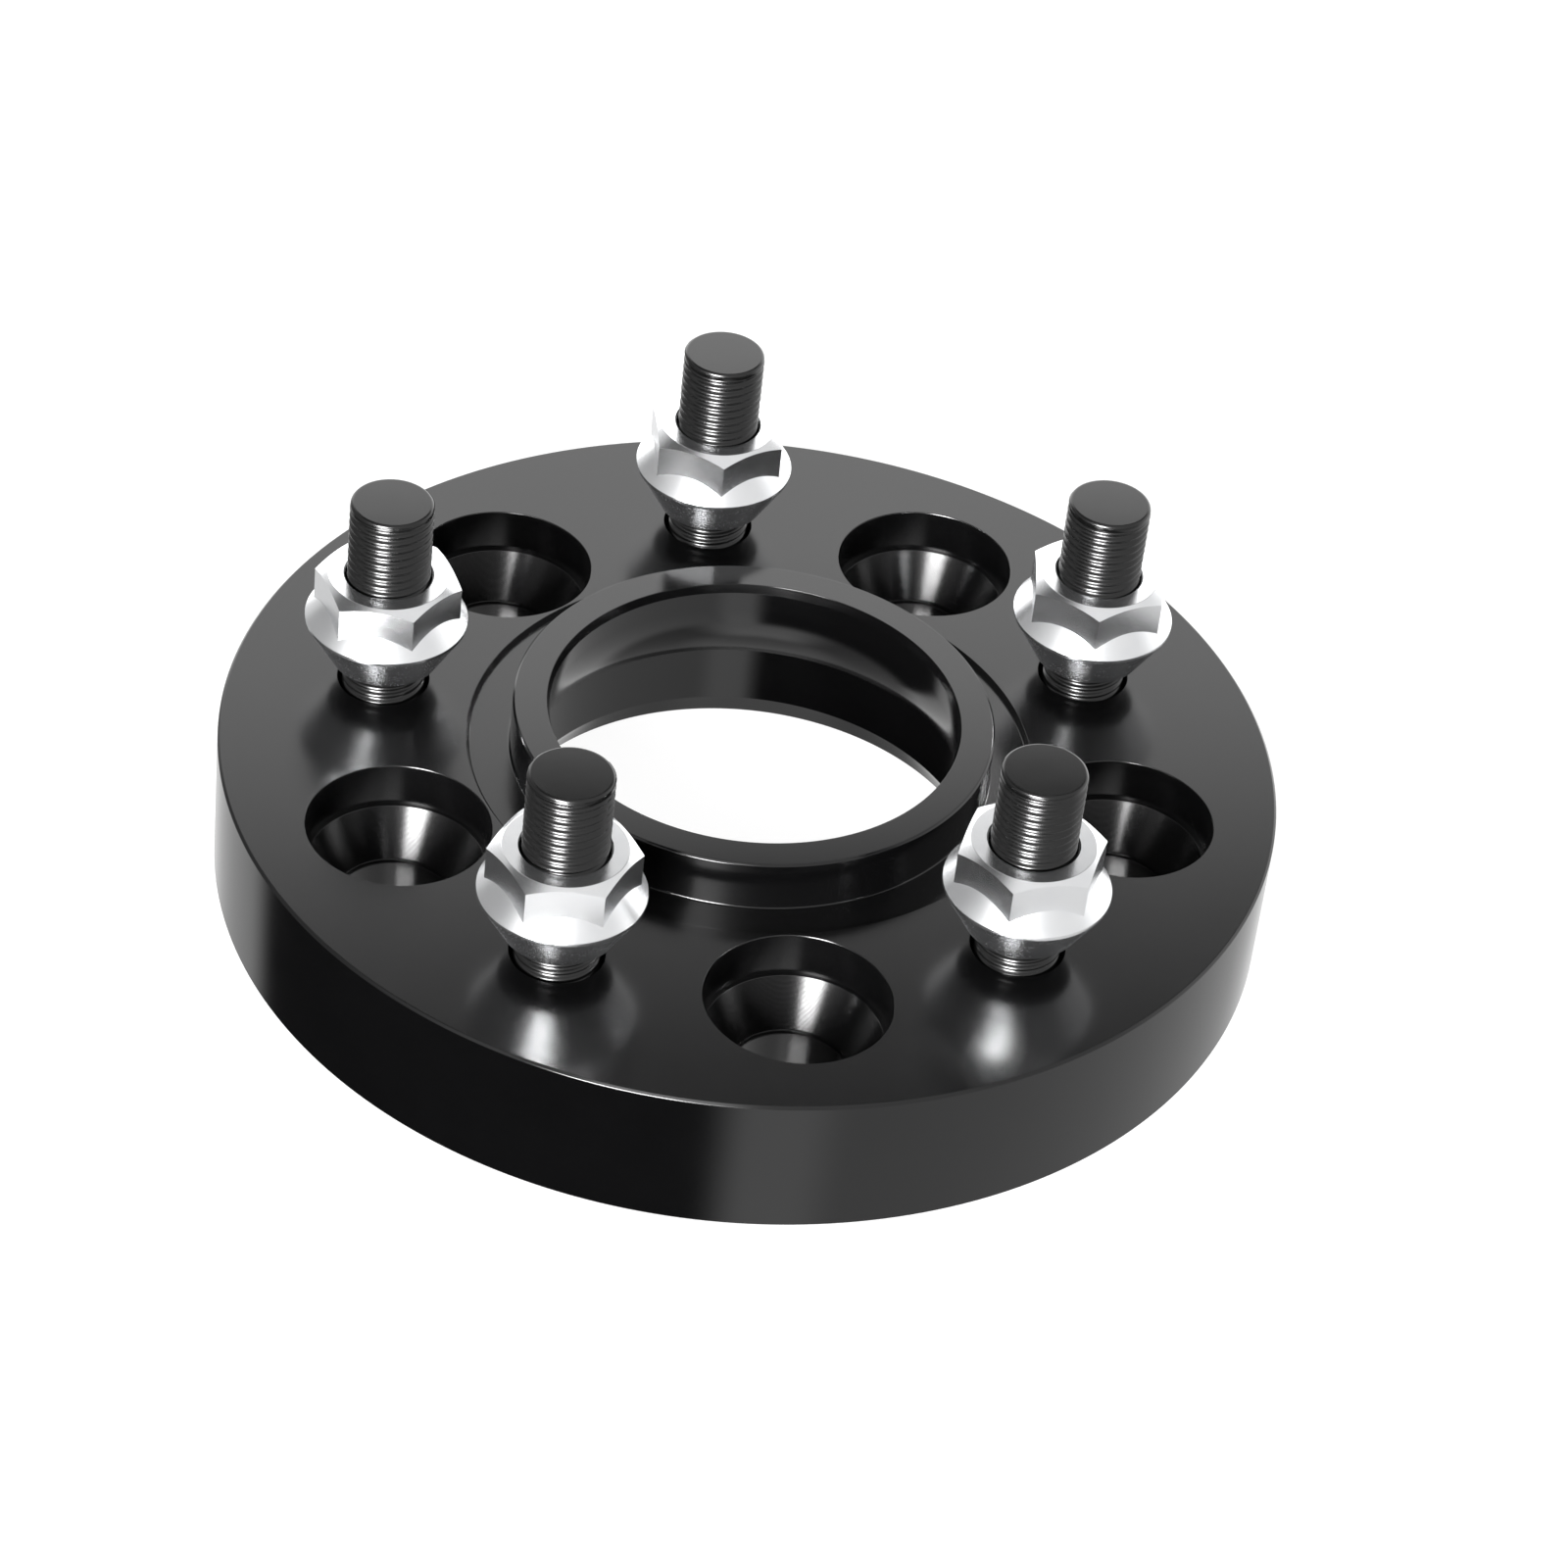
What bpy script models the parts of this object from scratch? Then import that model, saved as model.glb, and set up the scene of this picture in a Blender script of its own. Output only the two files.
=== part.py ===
"""Bolt-on wheel spacer: a turned disc that bolts to a car's hub and carries five studs for the wheel.

Units are metres. The origin is the centre of the back face, which lies against the hub, and +Z is
the axis of the wheel, from the hub outwards. One stud stands on the +Y side and one bolt hole on
the -Y side.
"""

import math

import bmesh
import bpy
from mathutils import Matrix

MM = 0.001

# Clearance left between pieces that touch on the real spacer
GAP = 0.3 * MM

# Bolt pattern, shared by the studs and by the bolt holes, which lie half a step between them
STUDS = 5
BOLT_CIRCLE_D = 127.0 * MM
FIRST_STUD = math.radians(90)

# Disc
DISC_D = 178.0 * MM
DISC_THICKNESS = 25.4 * MM
RIM_CHAMFER = 0.4 * MM

# Centring lip for the wheel, and the shallow recess turned round its foot
LIP_D = 80.8 * MM
LIP_HEIGHT = 8.0 * MM
LIP_CHAMFER = 0.35 * MM
RECESS_D = 95.6 * MM
RECESS_DEPTH = 1.05 * MM
RECESS_WALL_SLOPE = 0.6 * MM

# Bore through the lip, which curves outwards to the pocket that centres the spacer on the hub
BORE_D = 68.5 * MM
BORE_CHAMFER = 0.5 * MM
BORE_CHAMFER_DEPTH = 1.5 * MM
BORE_STRAIGHT = 3.5 * MM
FLARE_FOOT_D = 76.8 * MM
HUB_POCKET_D = 80.4 * MM
HUB_POCKET_DEPTH = 16.3 * MM
HUB_CHAMFER = 2.2 * MM
HUB_CHAMFER_DEPTH = 4.4 * MM

# Stud: a head sunk in the back face, a knurled neck pressed in the disc, and the threaded shank
STUD_D = 14.0 * MM
STUD_REACH = 36.4 * MM
TIP_CHAMFER = 0.35 * MM
HEAD_D = 22.0 * MM
HEAD_THICKNESS = 4.5 * MM
HEAD_CHAMFER = 0.5 * MM
HEAD_SINK = 0.5 * MM
KNURL_RISE = 0.9 * MM
KNURL_LENGTH = 11.0 * MM
KNURL_RIBS = 24
KNURL_DEPTH = 0.4 * MM
STUD_HOLE_CHAMFER = 0.5 * MM
KNURL_D = STUD_D + 2 * KNURL_RISE
STUD_HOLE_D = KNURL_D + 2 * GAP

# Lug nut: conical nose, thin flange and chamfered hexagon, spun part of the way down its stud
SEAT_ANGLE = math.radians(60)
NUT_LIFT = 5.1 * MM
NOSE_WALL = 2.0 * MM
HEX_FLATS = 21.5 * MM
HEX_HEIGHT = 8.6 * MM
HEX_TOP_INSET = 0.65 * MM
HEX_TOP_SLOPE = math.radians(30)
FLANGE_PROUD = 1.24 * MM
FLANGE_RIM = 0.6 * MM
SHOULDER_SLOPE = math.radians(47)
NUT_COUNTERSINK = 0.25 * MM
NUT_CORNERS = [math.radians(a) for a in (28.8, 45.7, 54.9, 6.1, 21.1)]
NUT_BORE_D = STUD_D + 2 * GAP
NOSE_D = NUT_BORE_D + 2 * NOSE_WALL
HEX_CORNERS = HEX_FLATS / math.cos(math.radians(30))
FLANGE_D = HEX_CORNERS + 2 * FLANGE_PROUD
NOSE_HEIGHT = (FLANGE_D - NOSE_D) / 2 / math.tan(SEAT_ANGLE / 2)
HEX_FOOT = NOSE_HEIGHT + FLANGE_RIM
NUT_HEIGHT = HEX_FOOT + HEX_HEIGHT

# Bolt hole: a pocket that sinks the same nut under the face, its conical seat, and the clear hole
SEAT_POCKET_DEPTH = 7.9 * MM
POCKET_LEDGE = 0.7 * MM
SEAT_MARGIN = 0.85 * MM
SEAT_LEDGE = 0.45 * MM
SEAT_STEP = 0.6 * MM
BOLT_HOLE_CHAMFER = 0.6 * MM
BOLT_HOLE_D = NOSE_D + 2 * GAP
SEAT_FOOT_D = BOLT_HOLE_D + 2 * SEAT_LEDGE
SEAT_TOP_D = FLANGE_D + 2 * SEAT_MARGIN
SEAT_POCKET_D = SEAT_TOP_D + 2 * POCKET_LEDGE

# Facets round the disc, down its flare, and round a hole, stud or nut
DISC_FACETS = 96
FLARE_FACETS = 4
HOLE_FACETS = 32
STUD_FACETS = 30
NUT_FACETS = 36

# Reach of a cutter past the face it enters
CUT_PAST = 2.0 * MM

# Steepest bend between two faces that still shades as one round surface
SMOOTH_ANGLE = math.radians(25)


def clear_scene():
    for obj in list(bpy.data.objects):
        bpy.data.objects.remove(obj)


def material(name, color, roughness, metallic):
    made = bpy.data.materials.new(name)
    made.use_nodes = True
    shader = made.node_tree.nodes["Principled BSDF"]
    shader.inputs["Base Color"].default_value = (*color, 1)
    shader.inputs["Roughness"].default_value = roughness
    shader.inputs["Metallic"].default_value = metallic
    return made


def add_object(name, bm):
    mesh = bpy.data.meshes.new(name)
    bm.to_mesh(mesh)
    bm.free()
    mesh.shade_smooth()
    mesh.set_sharp_from_angle(angle=SMOOTH_ANGLE)
    obj = bpy.data.objects.new(name, mesh)
    bpy.context.scene.collection.objects.link(obj)
    return obj


def spun(profile, facets, ring=False):
    """A mesh turned about Z from (radius, height) points; a ring's last point joins its first."""
    bm = bmesh.new()
    points = [bm.verts.new((radius, 0, height)) for radius, height in profile]
    edges = [bm.edges.new(pair) for pair in zip(points, points[1:])]
    if ring:
        edges.append(bm.edges.new((points[-1], points[0])))
    bmesh.ops.spin(
        bm, geom=points + edges, cent=(0, 0, 0), axis=(0, 0, 1), angle=math.tau, steps=facets, use_merge=True
    )
    bmesh.ops.remove_doubles(bm, verts=bm.verts, dist=0.001 * MM)
    bmesh.ops.recalc_face_normals(bm, faces=bm.faces)
    return bm


def make_cutter(obj):
    obj.hide_render = True
    obj.display_type = "WIRE"
    return obj


def cut(obj, cutter, operation="DIFFERENCE"):
    boolean = obj.modifiers.new(cutter.name, "BOOLEAN")
    boolean.operation = operation
    boolean.solver = "EXACT"
    boolean.object = cutter


def finished_mesh(obj, steps):
    """The mesh that is left when each (tool, operation) has worked on the object in turn."""
    for tool, operation in steps:
        cut(obj, make_cutter(tool), operation)
    graph = bpy.context.evaluated_depsgraph_get()
    mesh = bpy.data.meshes.new_from_object(obj.evaluated_get(graph))
    mesh.name = obj.name
    mesh.set_sharp_from_angle(angle=SMOOTH_ANGLE)
    for used in [obj] + [tool for tool, operation in steps]:
        bpy.data.objects.remove(used)
    return mesh


def on_bolt_circle(index, half_step=False):
    angle = FIRST_STUD + math.tau * (index + 0.5 * half_step) / STUDS
    return BOLT_CIRCLE_D / 2 * math.cos(angle), BOLT_CIRCLE_D / 2 * math.sin(angle)


def pattern_cutter(name, profile, facets, half_step):
    """One cutter that holds the same turned shape at every place of the bolt pattern."""
    bm = bmesh.new()
    for index in range(STUDS):
        one = spun(profile, facets)
        x, y = on_bolt_circle(index, half_step)
        bmesh.ops.translate(one, verts=one.verts, vec=(x, y, 0))
        mesh = bpy.data.meshes.new(name)
        one.to_mesh(mesh)
        one.free()
        bm.from_mesh(mesh)
        bpy.data.meshes.remove(mesh)
    return add_object(name, bm)


def flare_profile(top):
    """The arc that leaves the bore's wall straight down at its top and ends at the hub pocket."""
    drop = top - HUB_POCKET_DEPTH
    widening = (FLARE_FOOT_D - BORE_D) / 2
    arc_radius = (drop**2 + widening**2) / 2 / widening
    sweep = math.asin(drop / arc_radius)
    angles = [sweep * (FLARE_FACETS - step) / FLARE_FACETS for step in range(FLARE_FACETS + 1)]
    return [(BORE_D / 2 + arc_radius * (1 - math.cos(a)), top - arc_radius * math.sin(a)) for a in angles]


def disc_profile():
    """Section of the bare disc, from the top of the lip outwards and back up the bore."""
    lip_top = DISC_THICKNESS + LIP_HEIGHT
    floor = DISC_THICKNESS - RECESS_DEPTH
    return [
        (BORE_D / 2 + BORE_CHAMFER, lip_top),
        (LIP_D / 2 - LIP_CHAMFER, lip_top),
        (LIP_D / 2, lip_top - LIP_CHAMFER),
        (LIP_D / 2, floor),
        (RECESS_D / 2 - RECESS_WALL_SLOPE, floor),
        (RECESS_D / 2, DISC_THICKNESS),
        (DISC_D / 2 - RIM_CHAMFER, DISC_THICKNESS),
        (DISC_D / 2, DISC_THICKNESS - RIM_CHAMFER),
        (DISC_D / 2, RIM_CHAMFER),
        (DISC_D / 2 - RIM_CHAMFER, 0),
        (HUB_POCKET_D / 2 + HUB_CHAMFER, 0),
        (HUB_POCKET_D / 2, HUB_CHAMFER_DEPTH),
        (HUB_POCKET_D / 2, HUB_POCKET_DEPTH),
        *flare_profile(lip_top - BORE_CHAMFER_DEPTH - BORE_STRAIGHT),
        (BORE_D / 2, lip_top - BORE_CHAMFER_DEPTH),
    ]


def bolt_seat_profile():
    seat_top = DISC_THICKNESS - SEAT_POCKET_DEPTH
    seat_foot = seat_top - (SEAT_TOP_D - SEAT_FOOT_D) / 2 / math.tan(SEAT_ANGLE / 2)
    return [
        (0, DISC_THICKNESS + CUT_PAST),
        (SEAT_POCKET_D / 2, DISC_THICKNESS + CUT_PAST),
        (SEAT_POCKET_D / 2, seat_top),
        (SEAT_TOP_D / 2, seat_top),
        (SEAT_FOOT_D / 2, seat_foot),
        (SEAT_FOOT_D / 2, seat_foot - SEAT_STEP),
        (BOLT_HOLE_D / 2, seat_foot - SEAT_STEP),
        (BOLT_HOLE_D / 2, BOLT_HOLE_CHAMFER),
        (BOLT_HOLE_D / 2 + BOLT_HOLE_CHAMFER + CUT_PAST, -CUT_PAST),
        (0, -CUT_PAST),
    ]


def stud_hole_profile():
    head_seat = HEAD_SINK + HEAD_THICKNESS + GAP
    hole = STUD_HOLE_D / 2
    return [
        (0, DISC_THICKNESS + CUT_PAST),
        (hole + STUD_HOLE_CHAMFER + CUT_PAST, DISC_THICKNESS + CUT_PAST),
        (hole, DISC_THICKNESS - STUD_HOLE_CHAMFER),
        (hole, head_seat),
        (HEAD_D / 2 + GAP, head_seat),
        (HEAD_D / 2 + GAP, -CUT_PAST),
        (0, -CUT_PAST),
    ]


def make_body_mesh():
    body = add_object("spacer_body", spun(disc_profile(), DISC_FACETS, ring=True))
    steps = [
        (pattern_cutter("bolt_seats", bolt_seat_profile(), HOLE_FACETS, half_step=True), "DIFFERENCE"),
        (pattern_cutter("stud_holes", stud_hole_profile(), STUD_FACETS, half_step=False), "DIFFERENCE"),
    ]
    return finished_mesh(body, steps)


def stud_profile():
    """Section of the stud from its tip to the back of its head."""
    tip = DISC_THICKNESS + STUD_REACH
    neck_foot = HEAD_SINK + HEAD_THICKNESS
    return [
        (0, tip),
        (STUD_D / 2 - TIP_CHAMFER, tip),
        (STUD_D / 2, tip - TIP_CHAMFER),
        (STUD_D / 2, neck_foot),
        (HEAD_D / 2 - HEAD_CHAMFER, neck_foot),
        (HEAD_D / 2, neck_foot - HEAD_CHAMFER),
        (HEAD_D / 2, HEAD_SINK + HEAD_CHAMFER),
        (HEAD_D / 2 - HEAD_CHAMFER, HEAD_SINK),
        (0, HEAD_SINK),
    ]


def knurl_mesh():
    """The ribbed collar that bites into the disc, with a tapered lead at its outer end."""
    bm = bmesh.new()
    foot = HEAD_SINK + HEAD_THICKNESS - HEAD_CHAMFER
    rings = [(foot, 1), (foot + KNURL_LENGTH, 1), (foot + KNURL_LENGTH + KNURL_DEPTH, 0)]
    loops = []
    for height, full in rings:
        loop = []
        for point in range(2 * KNURL_RIBS):
            crest = KNURL_D / 2 if point % 2 == 0 and full else KNURL_D / 2 - KNURL_DEPTH
            angle = math.pi * point / KNURL_RIBS
            loop.append(bm.verts.new((crest * math.cos(angle), crest * math.sin(angle), height)))
        loops.append(loop)
    for lower, upper in zip(loops, loops[1:]):
        for point in range(len(lower)):
            after = (point + 1) % len(lower)
            bm.faces.new((lower[point], lower[after], upper[after], upper[point]))
    bm.faces.new(loops[0][::-1])
    bm.faces.new(loops[-1])
    return bm


def make_stud_mesh():
    stud = add_object("stud", spun(stud_profile(), STUD_FACETS))
    return finished_mesh(stud, [(add_object("knurl", knurl_mesh()), "UNION")])


def hexagon_mesh():
    """The plain hexagonal bar that the wrench grips, with one corner on +X."""
    bm = bmesh.new()
    corner = HEX_CORNERS / 2
    bmesh.ops.create_cone(bm, cap_ends=True, segments=6, radius1=corner, radius2=corner, depth=HEX_HEIGHT)
    bmesh.ops.rotate(bm, verts=bm.verts, cent=(0, 0, 0), matrix=Matrix.Rotation(math.radians(30), 3, "Z"))
    bmesh.ops.translate(bm, verts=bm.verts, vec=(0, 0, HEX_FOOT + HEX_HEIGHT / 2))
    return bm


def top_chamfer_profile():
    """The blunt cone that trims the hexagon's top corners."""
    flat = HEX_FLATS / 2 - HEX_TOP_INSET
    reach = HEX_CORNERS / 2 + CUT_PAST
    drop = (reach - flat) * math.tan(HEX_TOP_SLOPE)
    return [(0, NUT_HEIGHT), (flat, NUT_HEIGHT), (reach, NUT_HEIGHT - drop), (reach, 0), (0, 0)]


def flange_profile():
    """Section of the nut's turned part, from inside the hexagon down to the nose."""
    inside = HEX_FLATS / 2 - GAP
    shoulder = HEX_FOOT + (FLANGE_D / 2 - inside) * math.tan(SHOULDER_SLOPE)
    return [
        (0, shoulder),
        (inside, shoulder),
        (FLANGE_D / 2, HEX_FOOT),
        (FLANGE_D / 2, NOSE_HEIGHT),
        (NOSE_D / 2, 0),
        (0, 0),
    ]


def nut_bore_profile():
    bore = NUT_BORE_D / 2
    mouth = bore + NUT_COUNTERSINK + CUT_PAST
    return [
        (0, NUT_HEIGHT + CUT_PAST),
        (mouth, NUT_HEIGHT + CUT_PAST),
        (bore, NUT_HEIGHT - NUT_COUNTERSINK),
        (bore, NUT_COUNTERSINK),
        (mouth, -CUT_PAST),
        (0, -CUT_PAST),
    ]


def make_nut_mesh():
    nut = add_object("lug_nut", hexagon_mesh())
    steps = [
        (add_object("top_chamfer", spun(top_chamfer_profile(), NUT_FACETS)), "INTERSECT"),
        (add_object("flange", spun(flange_profile(), NUT_FACETS)), "UNION"),
        (add_object("nut_bore", spun(nut_bore_profile(), STUD_FACETS)), "DIFFERENCE"),
    ]
    return finished_mesh(nut, steps)


def place(name, mesh, finish, parent=None, height=0, turn=0):
    obj = bpy.data.objects.new(name, mesh)
    bpy.context.scene.collection.objects.link(obj)
    obj.parent = parent
    obj.location.z = height
    obj.rotation_euler.z = turn
    mesh.materials.clear()
    mesh.materials.append(finish)


def build():
    clear_scene()
    black_anodised = material("black_anodised", (0.022, 0.022, 0.023), 0.22, 0.0)
    black_steel = material("black_steel", (0.03, 0.03, 0.032), 0.3, 0.6)
    bright_zinc = material("bright_zinc", (0.78, 0.78, 0.79), 0.2, 1.0)
    place("spacer_body", make_body_mesh(), black_anodised)
    stud_mesh = make_stud_mesh()
    nut_mesh = make_nut_mesh()
    nut_foot = DISC_THICKNESS + NUT_LIFT
    for index in range(STUDS):
        centre = bpy.data.objects.new(f"stud_centre_{index + 1}", None)
        bpy.context.scene.collection.objects.link(centre)
        centre.location.xy = on_bolt_circle(index)
        place(f"stud_{index + 1}", stud_mesh, black_steel, centre)
        place(f"lug_nut_{index + 1}", nut_mesh, bright_zinc, centre, nut_foot, NUT_CORNERS[index])


build()
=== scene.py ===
"""Five-stud wheel spacer as it looks: a black anodised disc, black studs and bright lug nuts.

Sizes are in millimetres and are multiplied by MM where a shape is made. The frame is the CAD
model's: the back face lies on z = 0 and the wheel's axis is +Z.
"""

import math

import bmesh
import bpy
from mathutils import Matrix, Vector


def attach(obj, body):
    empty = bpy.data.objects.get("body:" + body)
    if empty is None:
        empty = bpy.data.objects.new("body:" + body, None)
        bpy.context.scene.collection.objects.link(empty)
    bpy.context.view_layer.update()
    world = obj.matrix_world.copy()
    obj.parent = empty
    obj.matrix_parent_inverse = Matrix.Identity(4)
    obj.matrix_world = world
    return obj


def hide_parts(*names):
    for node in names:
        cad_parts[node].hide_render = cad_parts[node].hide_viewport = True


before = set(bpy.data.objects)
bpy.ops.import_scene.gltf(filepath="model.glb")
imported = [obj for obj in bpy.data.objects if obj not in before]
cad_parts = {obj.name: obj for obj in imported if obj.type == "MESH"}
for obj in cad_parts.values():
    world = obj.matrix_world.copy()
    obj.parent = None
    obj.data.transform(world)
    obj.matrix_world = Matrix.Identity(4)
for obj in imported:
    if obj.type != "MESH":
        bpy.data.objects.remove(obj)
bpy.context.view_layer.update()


# Spacer disc: one ring of aluminium bar, turned all over, with five conical seats sunk in its face
# and five holes for its own studs. It is anodised black, which leaves a dark glassy skin over the
# lathe's satin. The outer wall, the lip and the seats are turned finer than the face.

MM = 0.001
MERGE_DISTANCE = 0.001 * MM
FACE = 25.4
RIM_RADIUS = 89.0
RIM_CHAMFER = 0.4
RECESS_RADIUS = 47.8
RECESS_FLOOR = FACE - 1.05
LIP_RADIUS = 40.4
LIP_TOP = 33.4
LIP_CHAMFER = 0.35
BORE_RADIUS = 34.25
FLARE_TOP = 28.4
FLARE_MOUTH = 38.4
POCKET_RADIUS = 40.2
POCKET_ROOF = 16.3
POCKET_LEAD_WIDTH = 2.2
POCKET_LEAD_HEIGHT = 4.4
BOLT_CIRCLE_RADIUS = 63.5
BOLT_HOLE_RADIUS = 9.6
SEAT_RADIUS = 10.05
SEAT_FOOT = 9.8
SEAT_TOP = 17.5
SEAT_MOUTH_RADIUS = 14.5
NUT_POCKET_RADIUS = 15.2
HEAD_POCKET_RADIUS = 11.3
HEAD_POCKET_ROOF = 5.3
PRESS_FIT_RADIUS = 8.2
PRESS_FIT_TOP = 17.0
STUD_MOUTH_RADIUS = 7.75
CUTTER_SPARE = 1.0
COUNTERSINK = 0.3
FACE_FEED = 0.32
SEAT_FEED = 0.17
SEAT_STEP = 72
STUD_ANGLES = [90, 162, 234, 306, 18]
SEAT_ANGLES = [126, 198, 270, 342, 54]


def eased(section, ring=False, steps=4):
    """The section's (radius, height) points, where a third number is the corner's rounding."""
    points = []
    for index, (radius, height, *roundness) in enumerate(section):
        corner = Vector((radius, height))
        at_end = not ring and index in (0, len(section) - 1)
        if at_end or not roundness:
            points.append(corner)
            continue
        back = (Vector(section[index - 1][:2]) - corner).normalized()
        ahead = (Vector(section[(index + 1) % len(section)][:2]) - corner).normalized()
        half = back.angle(ahead) / 2
        rounding = roundness[0]
        centre = corner + (back + ahead).normalized() * (rounding / math.sin(half))
        first = corner + back * (rounding / math.tan(half)) - centre
        last = corner + ahead * (rounding / math.tan(half)) - centre
        arc = [first.slerp(last, step / steps) * rounding for step in range(steps + 1)]
        points += [centre + spoke for spoke in arc]
    return [(point.x, point.y) for point in points]


def turn(name, section, sides, ring=False):
    """A turned shape: a circle, extruded and widened from point to point of its section."""
    bpy.ops.object.select_all(action="DESELECT")
    radius, height = section[0]
    fill = "NOTHING" if ring else "NGON"
    bpy.ops.mesh.primitive_circle_add(vertices=sides, radius=radius * MM, fill_type=fill)
    piece = bpy.context.object
    piece.name = name
    bpy.ops.object.mode_set(mode="EDIT")
    bpy.ops.mesh.select_all(action="SELECT")
    bpy.ops.transform.translate(value=(0, 0, height * MM))
    for wider, higher in section[1:] + section[:ring]:
        lift = (0, 0, (higher - height) * MM)
        spread = wider / radius
        bpy.ops.mesh.extrude_region_move(TRANSFORM_OT_translate={"value": lift})
        bpy.ops.transform.resize(value=(spread, spread, 1), center_override=(0, 0, 0))
        radius, height = wider, higher
    bpy.ops.mesh.select_all(action="SELECT")
    bpy.ops.mesh.remove_doubles(threshold=MERGE_DISTANCE)
    bpy.ops.mesh.normals_make_consistent(inside=False)
    bpy.ops.object.mode_set(mode="OBJECT")
    return piece


def select_only(piece):
    bpy.ops.object.select_all(action="DESELECT")
    piece.select_set(True)
    bpy.context.view_layer.objects.active = piece


def shape_with(piece, tool, operation):
    """The piece after a Boolean with the tool, which is used up."""
    boolean = piece.modifiers.new(tool.name, "BOOLEAN")
    boolean.operation = operation
    boolean.solver = "EXACT"
    boolean.object = tool
    select_only(piece)
    bpy.ops.object.modifier_apply(modifier=boolean.name)
    bpy.data.objects.remove(tool)


def copy_at(piece, name, place):
    """A copy with a mesh of its own, which holds its place."""
    copied = piece.copy()
    copied.name = name
    copied.data = piece.data.copy()
    copied.data.name = name
    copied.data.transform(place)
    bpy.context.scene.collection.objects.link(copied)
    return copied


def bolt_place(angle):
    across = BOLT_CIRCLE_RADIUS * MM * math.cos(math.radians(angle))
    along = BOLT_CIRCLE_RADIUS * MM * math.sin(math.radians(angle))
    return Matrix.Translation((across, along, 0))


def round_shading(piece, sharpest=35):
    """Smooth shading that stays flat on the flat faces."""
    select_only(piece)
    bpy.ops.object.mode_set(mode="EDIT")
    bpy.ops.mesh.select_all(action="SELECT")
    bpy.ops.mesh.remove_doubles(threshold=MERGE_DISTANCE)
    bpy.ops.object.mode_set(mode="OBJECT")
    bpy.ops.object.shade_smooth_by_angle(angle=math.radians(sharpest))
    weighted = piece.modifiers.new("flat_faces", "WEIGHTED_NORMAL")
    weighted.keep_sharp = True
    weighted.weight = 60
    bpy.ops.object.modifier_apply(modifier=weighted.name)


def flare(steps=14):
    """The curve that leaves the bore's wall straight down and opens out to the hub pocket."""
    drop = FLARE_TOP - POCKET_ROOF
    spread = FLARE_MOUTH - BORE_RADIUS
    bend = (drop**2 + spread**2) / 2 / spread
    sweep = math.asin(drop / bend)
    turns = [sweep * (steps - step) / steps for step in range(1, steps)]
    return [(BORE_RADIUS + bend * (1 - math.cos(t)), FLARE_TOP - bend * math.sin(t)) for t in turns]


disc_section = [
    (BORE_RADIUS + 0.5, LIP_TOP, 0.1),
    (LIP_RADIUS - LIP_CHAMFER, LIP_TOP, 0.15),
    (LIP_RADIUS, LIP_TOP - LIP_CHAMFER, 0.15),
    (LIP_RADIUS, RECESS_FLOOR, 0.3),
    (RECESS_RADIUS - 0.6, RECESS_FLOOR, 0.25),
    (RECESS_RADIUS, FACE, 0.12),
    (RIM_RADIUS - RIM_CHAMFER, FACE, 0.2),
    (RIM_RADIUS, FACE - RIM_CHAMFER, 0.2),
    (RIM_RADIUS, RIM_CHAMFER, 0.2),
    (RIM_RADIUS - RIM_CHAMFER, 0, 0.2),
    (POCKET_RADIUS + POCKET_LEAD_WIDTH, 0, 0.15),
    (POCKET_RADIUS, POCKET_LEAD_HEIGHT, 0.15),
    (POCKET_RADIUS, POCKET_ROOF, 0.3),
    (FLARE_MOUTH, POCKET_ROOF, 0.12),
    *flare(),
    (BORE_RADIUS, FLARE_TOP),
    (BORE_RADIUS, LIP_TOP - 1.5, 0.1),
]
disc = turn("disc", eased(disc_section, ring=True), sides=256, ring=True)

seat_section = [
    (BOLT_HOLE_RADIUS + 0.6 + CUTTER_SPARE, -CUTTER_SPARE),
    (BOLT_HOLE_RADIUS, 0.6, 0.12),
    (BOLT_HOLE_RADIUS, SEAT_FOOT - 0.6, 0.08),
    (SEAT_RADIUS, SEAT_FOOT - 0.6),
    (SEAT_RADIUS, SEAT_FOOT, 0.12),
    (SEAT_MOUTH_RADIUS, SEAT_TOP, 0.12),
    (NUT_POCKET_RADIUS, SEAT_TOP),
    (NUT_POCKET_RADIUS, FACE, 0.3),
    (NUT_POCKET_RADIUS + 2.0, FACE + COUNTERSINK),
]
stud_hole_section = [
    (HEAD_POCKET_RADIUS, -CUTTER_SPARE),
    (HEAD_POCKET_RADIUS, HEAD_POCKET_ROOF),
    (PRESS_FIT_RADIUS, HEAD_POCKET_ROOF),
    (PRESS_FIT_RADIUS, PRESS_FIT_TOP),
    (STUD_MOUTH_RADIUS, PRESS_FIT_TOP),
    (STUD_MOUTH_RADIUS, FACE, 0.15),
    (STUD_MOUTH_RADIUS + 2.0, FACE + COUNTERSINK),
]
seat = turn("seat", eased(seat_section), sides=128)
stud_hole = turn("stud_hole", eased(stud_hole_section), sides=64)
cutters = [copy_at(seat, "seat_cut", bolt_place(angle)) for angle in SEAT_ANGLES]
cutters += [copy_at(stud_hole, "hole_cut", bolt_place(angle)) for angle in STUD_ANGLES]
bpy.data.objects.remove(seat)
bpy.data.objects.remove(stud_hole)
select_only(cutters[0])
for cutter in cutters:
    cutter.select_set(True)
bpy.ops.object.join()
shape_with(disc, cutters[0], "DIFFERENCE")
round_shading(disc)


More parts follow.
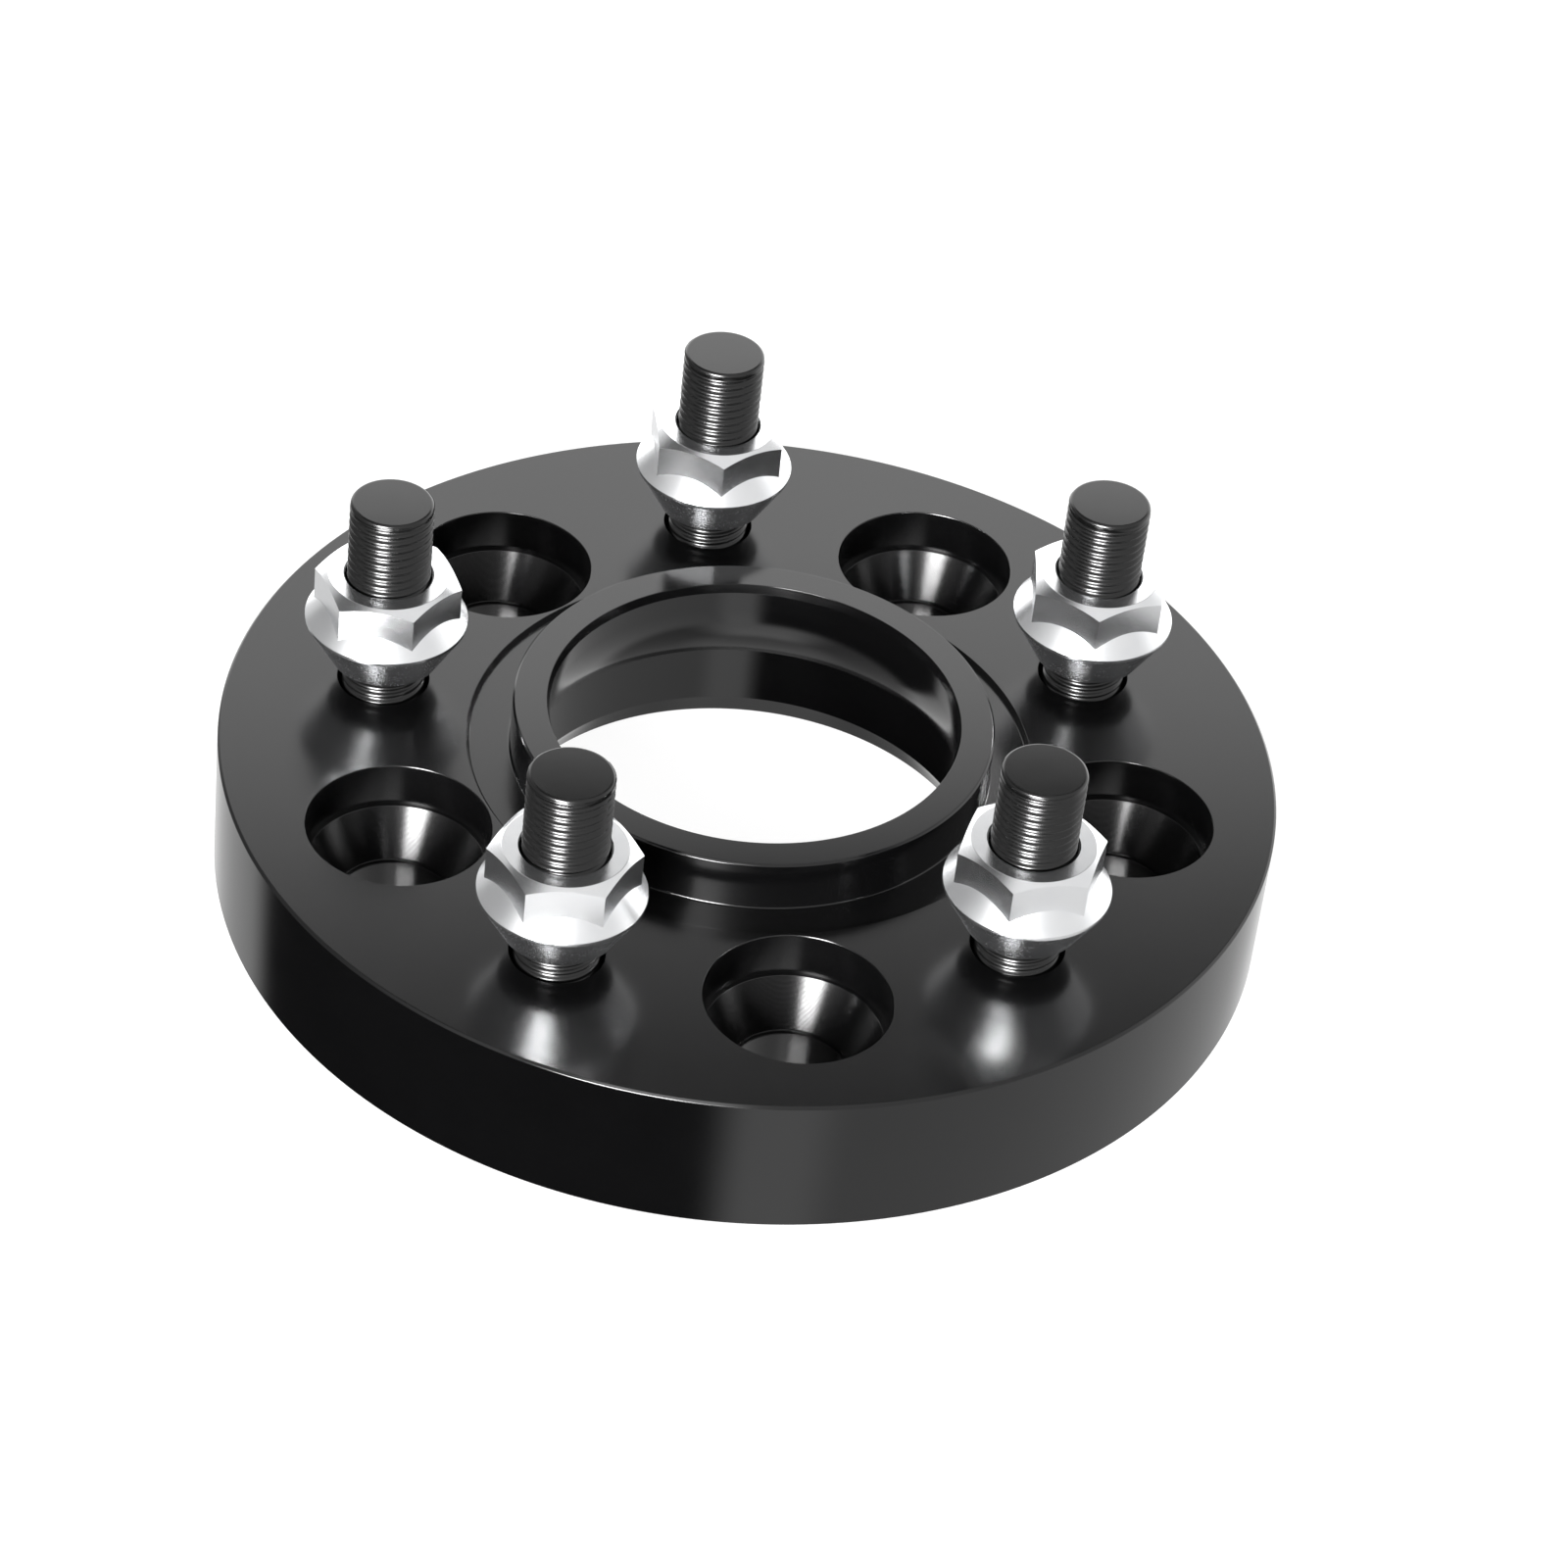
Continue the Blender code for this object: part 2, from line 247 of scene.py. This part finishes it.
class Wire:
    """A socket in a node tree. Sums on it add Math nodes, and node() adds any other kind."""

    def __init__(self, tree, socket=None):
        self.tree = tree
        self.socket = socket

    def node(self, kind, settings, inputs, output=0):
        made = self.tree.nodes.new(kind)
        for name, value in settings.items():
            setattr(made, name, value)
        for name, value in inputs.items():
            if isinstance(value, Wire):
                self.tree.links.new(value.socket, made.inputs[name])
            else:
                made.inputs[name].default_value = value
        return Wire(self.tree, made.outputs[output] if made.outputs else None)

    def also(self, output):
        """Another output of the same node."""
        return Wire(self.tree, self.socket.node.outputs[output])

    def sum(self, operation, *values):
        return self.node("ShaderNodeMath", {"operation": operation}, dict(enumerate(values)))

    def __add__(self, other):
        return self.sum("ADD", self, other)

    __radd__ = __add__

    def __sub__(self, other):
        return self.sum("SUBTRACT", self, other)

    def __rsub__(self, other):
        return self.sum("SUBTRACT", other, self)

    def __mul__(self, other):
        return self.sum("MULTIPLY", self, other)

    __rmul__ = __mul__

    def ramp(self, low, high):
        """0 at low and 1 at high, with soft ends."""
        settings = {"interpolation_type": "SMOOTHSTEP"}
        inputs = {"Value": self, "From Min": low, "From Max": high}
        return self.node("ShaderNodeMapRange", settings, inputs)

    def noise(self, size, detail=2.0):
        """Cloudy noise from 0 to 1 with spots of that size in millimetres, read from this place."""
        inputs = {"Vector": self, "Scale": 1 / (size * MM), "Detail": detail, "Roughness": 0.55}
        return self.node("ShaderNodeTexNoise", {"noise_dimensions": "3D"}, inputs)

    def mix(self, first, second):
        """The first colour where this is 0, the second where it is 1."""
        return self.node("ShaderNodeMix", {"data_type": "RGBA"}, {0: self, 6: first, 7: second}, 2)


def new_finish(name):
    """A material, its tree as a Wire, its Principled shader's inputs and its object coordinates."""
    made = bpy.data.materials.new(name)
    made.use_nodes = True
    tree = made.node_tree
    wires = Wire(tree)
    place = wires.node("ShaderNodeTexCoord", {}, {}).also("Object")
    return made, wires, tree.nodes["Principled BSDF"].inputs, place


def feed(shader_input, wire):
    wire.tree.links.new(wire.socket, shader_input)


anodised, wires, surface, place = new_finish("black_anodised_skin")
xyz = wires.node("ShaderNodeSeparateXYZ", {}, {"Vector": place})
across, along = xyz.also("X"), xyz.also("Y")
from_axis = wires.sum("SQRT", across * across + along * along)
rings = from_axis * (math.tau / (FACE_FEED * MM))
turning_marks = wires.sum("SINE", rings + place.noise(9.0) * 5.0)
grain = place.noise(0.35, 3.0)
clouding = place.noise(14.0, 3.0)
# Two whole turns are added, because MODULO keeps the sign.
bearing = wires.sum("ARCTAN2", along, across) + math.radians(SEAT_STEP / 2 - SEAT_ANGLES[2] + 720)
off_seat = wires.sum("MODULO", bearing, math.radians(SEAT_STEP)) - math.radians(SEAT_STEP / 2)
to_seats = BOLT_CIRCLE_RADIUS * MM
towards_seat = from_axis * (2 * to_seats) * wires.sum("COSINE", off_seat)
from_seat = wires.sum("SQRT", from_axis * from_axis + to_seats**2 - towards_seat)
in_seat = from_seat.ramp((NUT_POCKET_RADIUS + 0.2) * MM, (NUT_POCKET_RADIUS - 0.2) * MM)
deep_black = (0.0006, 0.0006, 0.00065, 1)
soft_black = (0.0018, 0.0018, 0.0019, 1)
feed(surface["Base Color"], (grain * 0.5 + clouding * 0.5).mix(deep_black, soft_black))
on_rim = from_axis.ramp((RIM_RADIUS - 0.6) * MM, (RIM_RADIUS - 0.2) * MM)
on_lip = from_axis.ramp((LIP_RADIUS + 0.6) * MM, (LIP_RADIUS + 0.2) * MM)
satin = 0.18 - (on_rim + on_lip) * 0.08 - in_seat * 0.04
feed(surface["Roughness"], satin + grain * 0.03 + clouding * 0.02 + turning_marks * 0.005)
seat_marks = wires.sum("SINE", xyz.also("Z") * (math.tau / (SEAT_FEED * MM)))
height = grain * 0.5 + turning_marks * 0.12 + seat_marks * in_seat * 4.0
bump = {"Height": height, "Strength": 1.0, "Distance": 0.001 * MM}
feed(surface["Normal"], wires.node("ShaderNodeBump", {}, bump))
surface["IOR"].default_value = 1.5
disc.data.materials.clear()
disc.data.materials.append(anodised)
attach(disc, "root")
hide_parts("spacer_body")


# Studs: cold-headed steel with a rolled thread, pressed in from the back until the head sits in its
# counterbore and the knurl bites. They are finished black, and the thread's crests are rounded.

STUD_TIP = 61.8
STUD_RADIUS = 7.0
STUD_CORE = 6.2
TIP_RADIUS = STUD_RADIUS - 0.07
TIP_LENGTH = 1.2
THREAD_PITCH = 1.5
THREAD_DEPTH = 0.62
THREAD_FOOT = 20.0
THREAD_CREST_ABOVE_FACE = [0.41, -0.19, -0.36, 0.11, 0.58]
HEAD_RADIUS = 11.0
HEAD_FOOT = 0.5
HEAD_TOP = 5.0
HEAD_CHAMFER = 0.5
KNURL_TEETH = 24
KNURL_RADIUS = 7.9
KNURL_VALLEY = 7.5
KNURL_END_RADIUS = 7.3
KNURL_FOOT = 4.6
KNURL_LENGTH = 10.9
PINHOLE = 0.5


def draw(name, points):
    """An open line from point to point, drawn on from a single vertex."""
    bpy.ops.object.select_all(action="DESELECT")
    bpy.ops.mesh.primitive_plane_add(size=MM)
    line = bpy.context.object
    line.name = name
    bpy.ops.object.mode_set(mode="EDIT")
    bpy.ops.mesh.select_all(action="SELECT")
    bpy.ops.mesh.merge(type="CENTER")
    bpy.ops.transform.translate(value=points[0])
    for at, point in zip(points, points[1:]):
        step = Vector(point) - Vector(at)
        bpy.ops.mesh.extrude_vertices_move(TRANSFORM_OT_translate={"value": step})
    bpy.ops.object.mode_set(mode="OBJECT")
    return line


def thread_line(points=10):
    """One pitch of the thread's outline, from crest to crest."""
    line = []
    for point in range(points + 1):
        dip = (1 - math.cos(math.tau * point / points)) / 2
        radius = STUD_RADIUS - THREAD_DEPTH * dip**1.3
        line.append((radius * MM, 0, THREAD_PITCH * point / points * MM))
    return line


thread = draw("thread", thread_line())
winding = thread.modifiers.new("winding", "SCREW")
winding.angle = math.tau
winding.screw_offset = THREAD_PITCH * MM
winding.iterations = math.ceil((STUD_TIP - THREAD_FOOT) / THREAD_PITCH) + 1
winding.steps = 64
winding.render_steps = 64
winding.use_merge_vertices = True
winding.merge_threshold = 0.0005 * MM
select_only(thread)
bpy.ops.object.modifier_apply(modifier=winding.name)
bpy.ops.object.mode_set(mode="EDIT")
bpy.ops.mesh.select_all(action="SELECT")
bpy.ops.mesh.remove_doubles(threshold=MERGE_DISTANCE)
bpy.ops.transform.translate(value=(0, 0, (THREAD_FOOT - THREAD_PITCH) * MM))
foot = {"plane_co": (0, 0, THREAD_FOOT * MM), "plane_no": (0, 0, -1)}
bpy.ops.mesh.bisect(use_fill=True, clear_outer=True, **foot)
bpy.ops.mesh.select_all(action="SELECT")
top = {"plane_co": (0, 0, (STUD_TIP - 0.45) * MM), "plane_no": (0, 0, 1)}
bpy.ops.mesh.bisect(use_fill=True, clear_outer=True, **top)
bpy.ops.mesh.select_all(action="SELECT")
bpy.ops.mesh.normals_make_consistent(inside=False)
bpy.ops.object.mode_set(mode="OBJECT")

tip_section = [
    (STUD_CORE, STUD_TIP - TIP_LENGTH - 0.5),
    (TIP_RADIUS, STUD_TIP - TIP_LENGTH, 0.1),
    (TIP_RADIUS, STUD_TIP, 0.6),
    (PINHOLE, STUD_TIP),
]
head_section = [
    (PINHOLE, HEAD_FOOT),
    (HEAD_RADIUS - HEAD_CHAMFER, HEAD_FOOT, 0.3),
    (HEAD_RADIUS, HEAD_FOOT + HEAD_CHAMFER, 0.3),
    (HEAD_RADIUS, HEAD_TOP - HEAD_CHAMFER, 0.3),
    (HEAD_RADIUS - HEAD_CHAMFER, HEAD_TOP, 0.3),
    (STUD_RADIUS, HEAD_TOP, 0.3),
    (STUD_RADIUS, THREAD_FOOT - 0.9, 0.2),
    (STUD_CORE, THREAD_FOOT - 0.3),
    (STUD_CORE, THREAD_FOOT + 0.6),
]
tip = turn("tip", eased(tip_section), sides=96)
head = turn("head", eased(head_section), sides=96)

bpy.ops.object.select_all(action="DESELECT")
corners = 2 * KNURL_TEETH
bpy.ops.mesh.primitive_circle_add(vertices=corners, radius=KNURL_RADIUS * MM, fill_type="NGON")
knurl = bpy.context.object
knurl.name = "knurl"
bpy.ops.object.mode_set(mode="EDIT")
bpy.ops.mesh.select_all(action="DESELECT")
shape = bmesh.from_edit_mesh(knurl.data)
shape.verts.ensure_lookup_table()
for vertex in list(shape.verts)[::2]:
    vertex.select = True
shape.select_flush(True)
bmesh.update_edit_mesh(knurl.data)
valley = KNURL_VALLEY / KNURL_RADIUS
bpy.ops.transform.resize(value=(valley, valley, 1), center_override=(0, 0, 0))
bpy.ops.mesh.select_all(action="SELECT")
bpy.ops.transform.translate(value=(0, 0, KNURL_FOOT * MM))
bpy.ops.mesh.extrude_region_move(TRANSFORM_OT_translate={"value": (0, 0, KNURL_LENGTH * MM)})
bpy.ops.mesh.extrude_region_move(TRANSFORM_OT_translate={"value": (0, 0, 0.4 * MM)})
taper = KNURL_END_RADIUS / KNURL_RADIUS
bpy.ops.transform.resize(value=(taper, taper, 1), center_override=(0, 0, 0))
bpy.ops.mesh.select_all(action="SELECT")
bpy.ops.mesh.normals_make_consistent(inside=False)
bpy.ops.object.mode_set(mode="OBJECT")

shape_with(head, knurl, "UNION")
shape_with(thread, tip, "UNION")
shape_with(thread, head, "UNION")
round_shading(thread, sharpest=40)

black_steel, wires, surface, place = new_finish("black_steel_skin")
grain = place.noise(0.25, 3.0)
wear = place.noise(5.0, 4.0)
oiled_black = (0.0008, 0.0008, 0.0008, 1)
dry_black = (0.0025, 0.0025, 0.0025, 1)
feed(surface["Base Color"], (grain * 0.4 + wear * 0.6).mix(oiled_black, dry_black))
feed(surface["Roughness"], 0.16 + grain * 0.06 + wear * 0.05)
bump = {"Height": grain, "Strength": 0.08, "Distance": 0.02 * MM}
feed(surface["Normal"], wires.node("ShaderNodeBump", {}, bump))
surface["IOR"].default_value = 1.5
thread.data.materials.clear()
thread.data.materials.append(black_steel)

for number, angle in enumerate(STUD_ANGLES, 1):
    lift = (THREAD_CREST_ABOVE_FACE[number - 1] + FACE - THREAD_FOOT) / THREAD_PITCH
    own_turn = Matrix.Rotation(math.tau * lift, 4, "Z")
    stud = copy_at(thread, f"threaded_stud_{number}", bolt_place(angle) @ own_turn)
    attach(stud, "root")
    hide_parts(f"stud_{number}")
bpy.data.objects.remove(thread)


# Lug nuts: cold-formed steel with a conical nose, a thin flange and a chamfered hexagon, plated
# in bright zinc. Each is spun part of the way down its stud, and each stopped at its own angle.

NUT_FOOT = 30.5
NOSE_RADIUS = 9.3
FLANGE_RADIUS = 13.655
FLANGE_FOOT = 7.54
FLANGE_TOP = 8.14
SHOULDER_RADIUS = 10.45
SHOULDER_TOP = 11.577
HEX_TOP = 16.74
HEX_CORNER = 12.413
HEX_FLAT = 10.75
CROWN_ANGLE = 30
CROWN_INSET = 0.65
NUT_BORE_RADIUS = 7.3
BORE_CHAMFER = 0.25
NUT_CORNERS = [28.8, 45.7, 54.9, 6.1, 21.1]

bpy.ops.object.select_all(action="DESELECT")
hex_height = HEX_TOP - FLANGE_TOP
bpy.ops.mesh.primitive_cylinder_add(vertices=6, radius=HEX_CORNER * MM, depth=hex_height * MM)
nut = bpy.context.object
nut.name = "nut"
bpy.ops.object.mode_set(mode="EDIT")
bpy.ops.mesh.select_all(action="SELECT")
bpy.ops.transform.rotate(value=math.radians(30), orient_axis="Z", center_override=(0, 0, 0))
bpy.ops.transform.translate(value=(0, 0, (FLANGE_TOP + HEX_TOP) / 2 * MM))
bpy.ops.mesh.select_all(action="DESELECT")
shape = bmesh.from_edit_mesh(nut.data)
for edge in shape.edges:
    edge.select = abs(edge.verts[0].co.z - edge.verts[1].co.z) > MM
shape.select_flush_mode()
bmesh.update_edit_mesh(nut.data)
bpy.ops.mesh.bevel(offset=0.25 * MM, segments=4, offset_type="OFFSET", affect="EDGES")
bpy.ops.mesh.select_all(action="SELECT")
bpy.ops.mesh.normals_make_consistent(inside=False)
bpy.ops.object.mode_set(mode="OBJECT")

crown_reach = HEX_CORNER + 2
crown_drop = (crown_reach - HEX_FLAT + CROWN_INSET) * math.tan(math.radians(CROWN_ANGLE))
crown_section = [
    (crown_reach, 0),
    (crown_reach, HEX_TOP - crown_drop),
    (HEX_FLAT - CROWN_INSET, HEX_TOP, 0.3),
    (PINHOLE, HEX_TOP),
]
flange_section = [
    (PINHOLE, 0),
    (NOSE_RADIUS, 0, 0.25),
    (FLANGE_RADIUS, FLANGE_FOOT, 0.2),
    (FLANGE_RADIUS, FLANGE_TOP, 0.25),
    (SHOULDER_RADIUS, SHOULDER_TOP),
    (PINHOLE, SHOULDER_TOP),
]
nut_bore_section = [
    (NUT_BORE_RADIUS + 2.0, BORE_CHAMFER - 2.0),
    (NUT_BORE_RADIUS, BORE_CHAMFER, 0.1),
    (NUT_BORE_RADIUS, HEX_TOP - BORE_CHAMFER, 0.1),
    (NUT_BORE_RADIUS + 2.0, HEX_TOP - BORE_CHAMFER + 2.0),
]
shape_with(nut, turn("crown", eased(crown_section), sides=128), "INTERSECT")
shape_with(nut, turn("flange", eased(flange_section), sides=128), "UNION")
shape_with(nut, turn("nut_bore", eased(nut_bore_section), sides=96), "DIFFERENCE")
round_shading(nut, sharpest=20)

bright_zinc, wires, surface, place = new_finish("bright_zinc_plating")
grain = place.noise(0.3, 4.0)
patches = place.noise(4.0, 3.0)
blue_zinc = (0.82, 0.83, 0.85, 1)
pale_zinc = (0.9, 0.905, 0.91, 1)
feed(surface["Base Color"], patches.mix(blue_zinc, pale_zinc))
level = wires.node("ShaderNodeSeparateXYZ", {}, {"Vector": place}).also("Z")
nose_top = NUT_FOOT + FLANGE_FOOT
nose = level.ramp((nose_top + 0.26) * MM, (nose_top - 0.14) * MM)
feed(surface["Roughness"], 0.19 + grain * 0.08 + patches * 0.04 + nose * 0.01)
bump = {"Height": grain, "Strength": 0.12, "Distance": 0.02 * MM}
feed(surface["Normal"], wires.node("ShaderNodeBump", {}, bump))
surface["Metallic"].default_value = 1.0
nut.data.materials.clear()
nut.data.materials.append(bright_zinc)

for number, (angle, corner) in enumerate(zip(STUD_ANGLES, NUT_CORNERS), 1):
    spun = Matrix.Rotation(math.radians(corner), 4, "Z")
    seated = Matrix.Translation((0, 0, NUT_FOOT * MM)) @ spun
    lug_nut = copy_at(nut, f"zinc_lug_nut_{number}", bolt_place(angle) @ seated)
    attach(lug_nut, "root")
    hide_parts(f"lug_nut_{number}")
bpy.data.objects.remove(nut)


# Table: a white sheet that runs out of sight under the disc. The camera sees it as lit paper that
# takes the disc's shadow, and mirrored rays pass through it to the studio's ground.

TABLE_SIZE = 6
TABLE_GAP = 0.02
TABLE_GLOW = 0.94
PAPER_GREY = (0.12, 0.12, 0.12, 1)
WHITE = (1, 1, 1, 1)

bpy.ops.object.select_all(action="DESELECT")
bpy.ops.mesh.primitive_plane_add(size=TABLE_SIZE)
table = bpy.context.object
table.name = "table"
bpy.ops.object.mode_set(mode="EDIT")
bpy.ops.mesh.select_all(action="SELECT")
bpy.ops.transform.translate(value=(0, 0, -TABLE_GAP * MM))
bpy.ops.object.mode_set(mode="OBJECT")

table_white = bpy.data.materials.new("table_white")
table_white.use_nodes = True
wires = Wire(table_white.node_tree)
table_white.node_tree.nodes.clear()
rays = wires.node("ShaderNodeLightPath", {}, {})
paper = wires.node("ShaderNodeBsdfDiffuse", {}, {"Color": PAPER_GREY})
glow = wires.node("ShaderNodeEmission", {}, {"Color": WHITE, "Strength": TABLE_GLOW})
lit_paper = wires.node("ShaderNodeAddShader", {}, {0: paper, 1: glow})
by_camera = rays.also("Is Camera Ray")
seen = wires.node("ShaderNodeMixShader", {}, {0: by_camera, 1: paper, 2: lit_paper})
unseen = wires.node("ShaderNodeBsdfTransparent", {}, {})
sheet = wires.node("ShaderNodeMixShader", {}, {0: rays.also("Is Glossy Ray"), 1: seen, 2: unseen})
wires.node("ShaderNodeOutputMaterial", {}, {"Surface": sheet})
table.data.materials.append(table_white)


# Light: a studio with one tall bright window and a low bright strip to the front left, a bright
# wall behind, a dark patch high on the left and dark ground under it. The camera sees plain white.
# Bearings are in degrees from the camera, rising to the right, and heights in degrees.

CAMERA_TURN = 11.44
BACKGROUND = 1.0
WINDOW = 95.0
LOW_STRIP = 60.0
BRIM = 5.0

studio = bpy.data.worlds.new("studio")
bpy.context.scene.world = studio
studio.use_nodes = True
studio.node_tree.nodes.clear()
wires = Wire(studio.node_tree)
looking = wires.node("ShaderNodeTexCoord", {}, {}).also("Generated")
spin = {"Vector": looking, "Angle": math.radians(CAMERA_TURN)}
turned = wires.node("ShaderNodeVectorRotate", {"rotation_type": "Z_AXIS"}, spin)
xyz = wires.node("ShaderNodeSeparateXYZ", {}, {"Vector": turned})
degrees = 180 / math.pi
bearing = wires.sum("ARCTAN2", xyz.also("X"), xyz.also("Y") * -1.0) * degrees
height = wires.sum("ARCSINE", xyz.also("Z")) * degrees
off_front = wires.sum("ABSOLUTE", bearing)


def laid_over(below, tone, where):
    """The light below, taken to this tone in the named part of the sky."""
    return below + (tone - below) * where


def band(wire, low, high, soft):
    return wire.ramp(low - soft, low + soft) * wire.ramp(high + soft, high - soft)


# The walls: bright on the right and behind, dim on the left with a dark patch above.
back_wall = 2.6 - 2.42 * (height + xyz.also("X") * 20.0).ramp(36.6, 40.4)
tone = 0.5 + 0.5 * height.ramp(-20, 10)
tone = laid_over(tone, 1.8, bearing.ramp(75, 115) * height.ramp(36, 24))
tone = laid_over(tone, back_wall, off_front.ramp(135, 155) * height.ramp(66, 54))
tone = laid_over(tone, 0.45, band(bearing, -126, -57, 7) * height.ramp(42, 28))
tone = laid_over(tone, 0.03, band(bearing, -135, -62, 8) * band(height, 44, 77, 5))

# The ground: dark on the left and lighter again close underfoot.
ground = 0.95 + 0.55 * band(bearing, 4, 26, 6)
ground = laid_over(ground, 1.2, off_front.ramp(140, 165))
ground = laid_over(ground, 0.01, band(bearing, -122, 4, 6))
underfoot = 0.35 + 1.0 * band(bearing, -38, 40, 22)
ground = laid_over(ground, underfoot, height.ramp(-51, -60))
ground = laid_over(ground, 0.55, height.ramp(-70, -80))
tone = laid_over(tone, ground, height.ramp(-24, -33))

# The lights: a soft brim over the window, the low strip and the window itself.
tone = laid_over(tone, BRIM, band(bearing, -26, 6, 6) * band(height, 30, 50, 5))
tone = laid_over(tone, LOW_STRIP, band(bearing, -26, 4, 5) * band(height, -25, -12, 4))
tone = laid_over(tone, WINDOW, band(bearing, -29, -5, 5) * band(height, 7, 37, 4))
rays = wires.node("ShaderNodeLightPath", {}, {})
tone = laid_over(tone, BACKGROUND, rays.also("Is Camera Ray"))
sky = wires.node("ShaderNodeBackground", {}, {"Strength": tone})
wires.node("ShaderNodeOutputWorld", {}, {"Surface": sky})


# Card: a lit white card that stands close behind the disc, dark towards its top and seen by
# mirrored rays alone. The face and the stud tips mirror it, and its nearness darkens the front
# ones. Its sizes are in metres.

CARD_WIDTH = 0.9
CARD_HEIGHT = 0.86
CARD_DISTANCE = 0.5
CARD_TONE = 2.45
CARD_DARK_TONE = 0.15
CARD_DARKENS_FROM = 0.42
CARD_DARK_FROM = 0.54

bpy.ops.object.select_all(action="DESELECT")
bpy.ops.mesh.primitive_plane_add(size=1)
card = bpy.context.object
card.name = "card"
bpy.ops.object.mode_set(mode="EDIT")
bpy.ops.mesh.select_all(action="SELECT")
bpy.ops.transform.resize(value=(CARD_WIDTH, CARD_HEIGHT, 1), center_override=(0, 0, 0))
bpy.ops.transform.rotate(value=math.radians(90), orient_axis="X", center_override=(0, 0, 0))
bpy.ops.transform.translate(value=(0, CARD_DISTANCE, CARD_HEIGHT / 2))
bpy.ops.object.mode_set(mode="OBJECT")
card.data.transform(Matrix.Rotation(math.radians(-CAMERA_TURN), 4, "Z"))

card_light = bpy.data.materials.new("card_light")
card_light.use_nodes = True
wires = Wire(card_light.node_tree)
card_light.node_tree.nodes.clear()
place = wires.node("ShaderNodeTexCoord", {}, {}).also("Object")
xyz = wires.node("ShaderNodeSeparateXYZ", {}, {"Vector": place})
shade = (xyz.also("Z") + xyz.also("X") * 0.2).ramp(CARD_DARKENS_FROM, CARD_DARK_FROM)
lit = wires.node("ShaderNodeEmission", {}, {"Color": WHITE, "Strength": CARD_TONE})
shaded = wires.node("ShaderNodeEmission", {}, {"Color": WHITE, "Strength": CARD_DARK_TONE})
face = wires.node("ShaderNodeMixShader", {}, {0: shade, 1: lit, 2: shaded})
unseen = wires.node("ShaderNodeBsdfTransparent", {}, {})
rays = wires.node("ShaderNodeLightPath", {}, {})
front = wires.node("ShaderNodeMixShader", {}, {0: rays.also("Is Glossy Ray"), 1: unseen, 2: face})
wires.node("ShaderNodeOutputMaterial", {}, {"Surface": front})
card.data.materials.append(card_light)


# Camera: a long lens held about 39 degrees above the table and rolled a little, turned so that one
# stud points away from it. EYE is its place in metres along its own right, up and back directions.

IMAGE_WIDTH = 1600
FOCAL_PIXELS = 5161.3
SENSOR = 36.0
CAMERA_HEIGHT = math.radians(38.763)
CAMERA_ROLL = math.radians(6.766)
CAMERA_SCALE = 1.18
EYE = (0.006743, 0.011381, 0.73332)

lens = bpy.data.cameras.new("view")
lens.sensor_width = SENSOR
lens.lens = SENSOR * FOCAL_PIXELS / IMAGE_WIDTH
lens.clip_start = 0.01
view = bpy.data.objects.new("view", lens)
bpy.context.scene.collection.objects.link(view)
level_right = Vector((1, 0, 0))
level_up = Vector((0, math.sin(CAMERA_HEIGHT), math.cos(CAMERA_HEIGHT)))
backwards = Vector((0, -math.cos(CAMERA_HEIGHT), math.sin(CAMERA_HEIGHT)))
right = level_right * math.cos(CAMERA_ROLL) + level_up * math.sin(CAMERA_ROLL)
up = level_up * math.cos(CAMERA_ROLL) - level_right * math.sin(CAMERA_ROLL)
eye = (right * EYE[0] + up * EYE[1] + backwards * EYE[2]) * CAMERA_SCALE
held = Matrix((right, up, backwards)).transposed().to_4x4()
held.translation = eye
view.matrix_world = Matrix.Rotation(math.radians(-CAMERA_TURN), 4, "Z") @ held
bpy.context.scene.camera = view
bpy.context.scene.view_settings.view_transform = "Standard"
